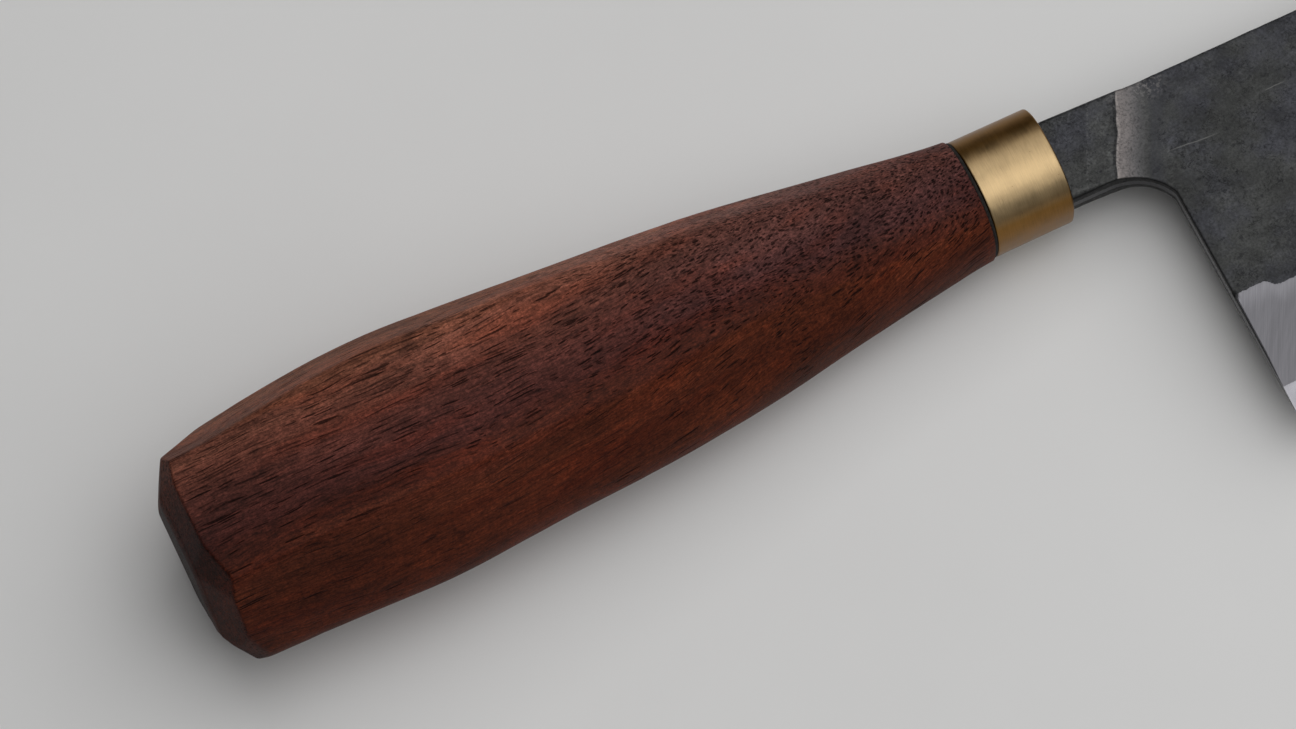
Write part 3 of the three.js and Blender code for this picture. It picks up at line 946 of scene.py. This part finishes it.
def plate(outline, inner, seams, top, bottom):
    """A closed solid over an outline, between two height fields, with its edges along the given seams."""
    points = [outline, *seams, inner]
    starts = np.cumsum([0] + [len(p) for p in points])
    edges = []
    for start, seam_line in zip(starts[1:], seams):
        edges += [(start + i, start + i + 1) for i in range(len(seam_line) - 1)]
    flat = [Vector(p) for p in np.concatenate(points)]
    loop = list(range(len(outline)))
    found, _, triangles, *_ = delaunay_2d_cdt(flat, edges, [loop], 1, 1e-5)
    used = sorted({i for triangle in triangles for i in triangle})
    place = {old: new for new, old in enumerate(used)}
    found = np.array([found[i] for i in used])
    triangles = np.array([[place[i] for i in triangle] for triangle in triangles])
    sides = {(a, b) for t in triangles.tolist() for a, b in zip(t, t[1:] + t[:1])}
    rim = [(a, b) for a, b in sides if (b, a) not in sides]
    count = len(found)
    faces = triangles.tolist() + (triangles[:, ::-1] + count).tolist()
    faces += [[b, a, a + count, b + count] for a, b in sorted(rim)]
    vertices = np.concatenate([np.c_[found, top(found)], np.c_[found, bottom(found)]])
    return vertices, faces


BOND_GAP = 0.01


def cladding(side, material):
    """The outer layer of one face: from the core up to the face, above the bare-core line."""
    below = OUTLINE[:, 1] <= core_y(OUTLINE[:, 0]) + 0.25
    first = int(np.argmax(below))
    last = len(OUTLINE) - int(np.argmax(below[::-1]))
    low_seam = seam(core_y, HEEL_X, OUTLINE[last % len(OUTLINE), 0])
    outline = np.concatenate([OUTLINE[:first], low_seam, OUTLINE[last:]])
    border = seam(lambda x: border_y(x, side), HEEL_X + 0.8, TIP_X - 1.2)
    inner = away_from(inner_points(), lambda x: border_y(x, side), 0.3)
    inner = inner[inner[:, 1] > core_y(inner[:, 0]) + 0.3]

    def inside(points):
        return side * (bond_height(points[:, 0]) + BOND_GAP)

    def outside(points):
        return side * np.maximum(rounded_face(points, side), bond_height(points[:, 0]) + 2 * BOND_GAP)

    vertices, faces = plate(outline, inner, [border], outside, inside)
    x, y, _ = vertices.T
    attributes = {
        "border": y - border_y(x, side),
        "rim": np.minimum(rim_distance(vertices[:, :2])[0], 3),
        "past": np.clip(past_crease(x, y), -9, 9),
    }
    name = "cladding_right_forged" if side > 0 else "cladding_left_forged"
    return mesh_object(name, vertices, faces, material, attributes)


def core():
    """The core layer with its bare, ground edge and its tang."""
    tang = line((NECK_BACK_X, TANG_Y + TANG_ROOT_HALF[0]), (TANG_END_X, TANG_Y + TANG_END_HALF[0]), 4 * STEP)
    tang += line((TANG_END_X, TANG_Y + TANG_END_HALF[0]), (TANG_END_X, TANG_Y - TANG_END_HALF[0]), STEP)
    tang += line((TANG_END_X, TANG_Y - TANG_END_HALF[0]), (NECK_BACK_X, TANG_Y - TANG_ROOT_HALF[0]), 4 * STEP)
    outline = np.concatenate([OUTLINE, tang])
    bare = seam(core_y, HEEL_X + 0.3, TIP_X - 1.5)
    inner = away_from(inner_points(), core_y, 0.3)

    def face(side):
        def height(points):
            x = points[:, 0]
            layer = np.minimum(rounded_face(points, side), bond_height(x))
            return side * np.where(x < NECK_BACK_X - 0.1, tang_half_thickness(x), layer)

        return height

    vertices, faces = plate(outline, inner, [bare], face(1), face(-1))
    return mesh_object("core_steel_ground", vertices, faces, edge_steel())


# ---- turned and carved pieces ----

SIDES = 288 if FINE else 120
ANGLES = np.arange(SIDES) * 2 * math.pi / SIDES  # from the spine side towards the right face


def ring(x, radius, middle_y=0.0):
    """A ring of points about the axis at x, with a radius for every angle."""
    radius = np.broadcast_to(radius, ANGLES.shape)
    return np.stack([np.full(SIDES, x), middle_y + radius * np.cos(ANGLES), radius * np.sin(ANGLES)], 1)


def squared_round(power):
    """Radius of a unit circle pushed out towards the corners of a square."""
    return (np.abs(np.cos(ANGLES)) ** power + np.abs(np.sin(ANGLES)) ** power) ** (-1 / power)


def slot_ring(x, half_height, half_thickness_z):
    with np.errstate(divide="ignore"):
        radius = np.minimum(half_height / np.abs(np.cos(ANGLES)), half_thickness_z / np.abs(np.sin(ANGLES)))
    return ring(x, radius, TANG_Y)


def skin(rings, closed=False):
    """Vertices and faces of the surface through a row of rings, capped at both ends or closed on itself."""
    rings = np.array(rings)
    rows, count, _ = rings.shape
    vertices = rings.reshape(-1, 3)
    here = np.arange(rows if closed else rows - 1)[:, None] * count
    after = (here + count) % (rows * count)
    column = np.arange(count)
    beside = np.roll(column, -1)
    quads = np.stack([here + column, here + beside, after + beside, after + column], -1)
    faces = quads.reshape(-1, 4).tolist()
    if not closed:
        for row, centre in ((0, len(vertices)), (rows - 1, len(vertices) + 1)):
            pairs = zip((column + row * count).tolist(), (beside + row * count).tolist())
            faces += [[a, b, centre] for a, b in pairs]
        vertices = np.concatenate([vertices, rings[[0, -1]].mean(1)])
    return vertices, faces


def rounded_turn(sections, radius, steps=4):
    """A closed row of (x, scale) corners for a ring, with each outer corner rounded."""
    row = []
    for index, (x, r, soft) in enumerate(sections):
        before = np.array(sections[index - 1][:2])
        after = np.array(sections[(index + 1) % len(sections)][:2])
        corner = np.array([x, r])
        if not soft:
            row.append(corner)
            continue
        into = (before - corner) / np.linalg.norm(before - corner) * radius
        out = (after - corner) / np.linalg.norm(after - corner) * radius
        row += [corner + into * (1 - t) ** 2 + out * t**2 for t in np.linspace(0, 1, steps + 1)]
    return row


def ferrule():
    """A brass ring, a little squarer than round, with softened rims."""
    count = 24 if FINE else 8
    body = np.linspace(FERRULE_BACK_X, 0, count)
    radii = FERRULE_BACK_RADIUS + (FERRULE_FRONT_RADIUS - FERRULE_BACK_RADIUS) * (body - body[0]) / -body[0]
    sections = [(x, r, False) for x, r in zip(body, radii)]
    sections[0] = (*sections[0][:2], True)
    sections[-1] = (*sections[-1][:2], True)
    sections += [(0, FERRULE_BORE, True), (FERRULE_BACK_X, FERRULE_BORE, False)]
    rings = []
    for x, r in rounded_turn(sections, 0.32):
        outer = smooth((r - FERRULE_BORE) / 0.5)
        shape = 1 + (squared_round(FERRULE_POWER) - 1) * outer
        worn = 0.02 * outer * noise(x / 4 + 0 * ANGLES, np.sin(ANGLES) * 2 + 5, 51)
        rings.append(ring(x, r * shape + worn, RING_MIDDLE_Y * outer))
    return mesh_object("brass_ferrule", *skin(rings, closed=True), brushed_brass())


def spacer():
    """The thin black ring between the wood and the brass."""
    outer, inner = FERRULE_BACK_RADIUS + 0.02, TENON_RADIUS + FIT_GAP
    sections = [
        (SPACER_BACK_X, outer, True),
        (SPACER_FRONT_X, outer, True),
        (SPACER_FRONT_X, inner, False),
        (SPACER_BACK_X, inner, False),
    ]
    rings = []
    for x, r in rounded_turn(sections, 0.08, steps=2):
        share = smooth((r - inner) / (outer - inner))
        rings.append(ring(x, r * (1 + (squared_round(FERRULE_POWER) - 1) * share), RING_MIDDLE_Y * share))
    return mesh_object("black_spacer_ring", *skin(rings, closed=True), black_fibre())


def resin_bed():
    """Resin that fills the ferrule's mouth and the slot, and leaves room for the neck and the tang."""
    plug_back, plug_front = TENON_END_X + FIT_GAP, -0.5
    radius = FERRULE_BORE - 0.02
    slot = [half - FIT_GAP for half in SLOT_HALF]
    neck = ((NECK_TOP_Y - NECK_UNDER_Y) / 2 + 0.5, NECK_HALF + 0.06)
    rings = [slot_ring(SLOT_END_X + FIT_GAP, *slot), slot_ring(plug_back, *slot), ring(plug_back, radius)]
    rings += [ring(plug_front + 0.12, radius), ring(plug_front, radius - 0.35)]
    rings += [slot_ring(plug_front + 0.05, *neck), slot_ring(NECK_BACK_X - 0.05, *neck)]
    rings += [slot_ring(NECK_BACK_X - 0.1, TANG_ROOT_HALF[0] + 0.05, TANG_ROOT_HALF[1] + 0.05)]
    rings += [slot_ring(TANG_END_X - 0.1, TANG_END_HALF[0] + 0.05, TANG_END_HALF[1] + 0.05)]
    return mesh_object("resin_bed", *skin(rings), black_resin())


def carved_profile():
    """Height of the handle's section at any x and the y of its middle, from the CAD handle's own sections."""
    outside = np.hypot(WOOD[:, 1], WOOD[:, 2]) > TENON_RADIUS + 1
    body = WOOD[outside & (WOOD[:, 0] > BUTT_X + 0.1)]
    places = np.unique(body[:, 0].round(1))
    sections = [body[np.abs(body[:, 0] - place) < 0.1, 1] for place in places]
    fine = np.arange(BUTT_X - 20, 0, 0.5)
    reach = 9  # half a millimetre each: the carver's strokes leave soft bends, not corners
    blur = np.ones(2 * reach + 1) / (2 * reach + 1)

    def softened(values):
        return np.convolve(np.pad(np.interp(fine, places, values), reach, "edge"), blur, "valid")

    tops = softened([section.max() for section in sections])
    bottoms = softened([section.min() for section in sections])
    return (
        lambda x: np.interp(x, fine, tops - bottoms),
        lambda x: np.interp(x, fine, (tops + bottoms) / 2),
    )


def faceted_radius(planes, power, within=np.inf):
    """Radius at every angle inside the planes and within a radius. A high power keeps the ridges crisp."""
    total = (1 / np.broadcast_to(within, ANGLES.shape)) ** power
    for degrees, distance in planes:
        facing = np.clip(np.cos(ANGLES - math.radians(degrees)), 0, None)
        total = total + (facing / distance) ** power
    return total ** (-1 / power)


def facet_planes(x, tall):
    """Angle and distance of every long facet at x, where the section is this tall. Each wanders a little."""
    front = smooth((x - DRIFT_FROM_X) / (SHOULDER_X - DRIFT_FROM_X) + DRIFT_LEAD)
    planes = []
    for index, (back_degrees, back_share, front_degrees, front_share) in enumerate(FACETS):
        degrees = back_degrees + (front_degrees - back_degrees) * front
        degrees = degrees + 2.0 * noise(x / 31, index + 0.5, 61)
        share = back_share + (front_share - back_share) * front + 0.004 * noise(x / 17, index + 0.5, 62)
        planes.append((degrees, tall * share))
    return planes


def body_radius(x, tall, cuts=()):
    """Radius of the handle at every angle: the ferrule's shape at the shoulder, then facets, then cuts."""
    behind = smooth((-70 - x) / 40)
    power = FRONT_POWER + (BELLY_POWER - FRONT_POWER) * behind
    faceted = faceted_radius(facet_planes(x, tall), power)
    rounded = squared_round(FERRULE_POWER) * (tall / 2 - SHOULDER_STEP)
    round_share = smooth((x - SHOULDER_X) / ROUNDING_LENGTH + 1)
    return faceted_radius(cuts, CUT_POWER, rounded * round_share + faceted * (1 - round_share))


def carved(x, radius):
    """The radius with the shallow strokes of the knife and a fine tremor."""
    y, z = radius * np.cos(ANGLES), radius * np.sin(ANGLES)
    strokes = noise(x / 9, y / 6, 63) + noise(x / 9, z / 6 + 30, 64)
    tremor = noise(x / 2.5, y / 2.5, 65) + noise(x / 2.5, z / 2.5 + 30, 66)
    return radius + 0.045 * strokes + 0.012 * tremor


def butt_end(last, middle_y):
    """Rings that close the butt inside its last one, with a slightly uneven face."""
    rings = []
    for share in (0.85, 0.65, 0.45, 0.25, 0.1):
        inner = last.copy()
        inner[:, 1] = middle_y + (last[:, 1] - middle_y) * share
        inner[:, 2] *= share
        inner[:, 0] += 0.05 * noise(inner[:, 1] / 4, inner[:, 2] / 4, 67)
        rings.append(inner)
    return rings


def handle():
    """The carved handle, with its cut butt, its tenon and the slot for the tang."""
    height, middle = carved_profile()
    starts = [
        np.interp(math.radians(degrees), ANGLES, body_radius(x, height(x))) for degrees, _, x in BUTT_CUTS
    ]

    def cuts(x):
        return [
            (degrees, start + (x - from_x) * math.tan(math.radians(slope)))
            for start, (degrees, slope, from_x) in zip(starts, BUTT_CUTS)
        ]

    step = 0.5 if FINE else 1.5
    end_round = 0.5
    back, down = SHOULDER_SOFTENING
    places = np.concatenate(
        [
            np.arange(SHOULDER_X - back, BUTT_RIDGE_X + 3, -step),
            np.arange(BUTT_RIDGE_X + 3, BUTT_X + end_round, -step / 3),
            BUTT_X + end_round * (1 - np.sin(np.linspace(0, math.pi / 2, 5))),
        ]
    )
    rings = [slot_ring(SLOT_END_X, *SLOT_HALF), slot_ring(TENON_END_X, *SLOT_HALF)]
    rings += [ring(TENON_END_X, TENON_RADIUS), ring(SHOULDER_X, TENON_RADIUS)]
    shoulder = body_radius(SHOULDER_X, height(SHOULDER_X)) - down
    rings.append(ring(SHOULDER_X, shoulder, middle(SHOULDER_X)))
    for x in places:
        radius = carved(x, body_radius(x, height(x), cuts(x)))
        near_end = np.clip(end_round - (x - BUTT_X), 0, end_round)
        rings.append(ring(x, radius - (end_round - math.sqrt(end_round**2 - near_end**2)), middle(x)))
    rings += butt_end(rings[-1], middle(BUTT_X))
    return mesh_object("walnut_handle", *skin(rings), walnut())


# ---- stage, camera and light ----

VIEW_YAW, VIEW_PITCH, VIEW_ROLL = (math.radians(a) for a in (8, 20, 24.6))
VIEW_TARGET = Vector((-61.966, -2.370, 0)) * MM
VIEW_DISTANCE = 884.35 * MM
LENS = 180.56


def camera():
    """A long lens over the right face, a little towards the butt and the edge, turned so the knife rises."""
    back = Vector((-math.tan(VIEW_YAW), -math.tan(VIEW_PITCH), 1)).normalized()
    along = (Vector((1, 0, 0)) - back.x * back).normalized()
    across = back.cross(along)
    right = along * math.cos(VIEW_ROLL) - across * math.sin(VIEW_ROLL)
    up = along * math.sin(VIEW_ROLL) + across * math.cos(VIEW_ROLL)
    turn = Matrix((right, up, back)).transposed().to_4x4()
    data = bpy.data.cameras.new("camera")
    data.lens = LENS
    data.sensor_width = 36
    data.clip_start, data.clip_end = 0.01, 20
    made = added("camera", data)
    made.matrix_world = KNIFE @ Matrix.Translation(VIEW_TARGET + back * VIEW_DISTANCE) @ turn
    bpy.context.scene.camera = made


def floor():
    half = 3
    mesh = bpy.data.meshes.new("floor")
    corners = [(-half, -half, 0), (half, -half, 0), (half, half, 0), (-half, half, 0)]
    mesh.from_pydata(corners, [], [(0, 1, 2, 3)])
    mesh.materials.append(pale_floor())
    added("floor", mesh)


def softbox(name, direction, distance, width, height, power):
    """A rectangular area light that looks at the knife from this direction."""
    data = bpy.data.lights.new(name, "AREA")
    data.shape = "RECTANGLE"
    data.size, data.size_y = width, height
    data.energy = power
    made = added(name, data)
    towards = Vector(direction).normalized()
    made.location = towards * distance
    made.rotation_mode = "QUATERNION"
    made.rotation_quaternion = towards.to_track_quat("Z", "Y")


def lights():
    softbox("key", (0.42, -0.06, 0.92), 1.1, 2.0, 1.8, 12.0)
    softbox("overhead", (0.13, -0.08, 0.98), 1.1, 0.7, 0.7, 1.8)
    softbox("edge_side", (0.20, -0.90, 0.42), 1.2, 1.4, 0.7, 0.6)
    world = bpy.data.worlds.new("studio")
    world.use_nodes = True
    world.node_tree.nodes["Background"].inputs["Color"].default_value = (1, 1, 1, 1)
    world.node_tree.nodes["Background"].inputs["Strength"].default_value = 0.08
    bpy.context.scene.world = world
    bpy.context.scene.view_settings.view_transform = "Standard"


# ---- the scene ----

camera()
floor()
lights()

scale_material = forge_scale()
dress(cladding(1, scale_material), "cladding_right")
dress(cladding(-1, scale_material), "cladding_left")
dress(core(), "core_steel")
dress(handle(), "handle")
dress(ferrule(), "ferrule")
dress(spacer(), "spacer_ring")
dress(resin_bed(), "tang_bedding")
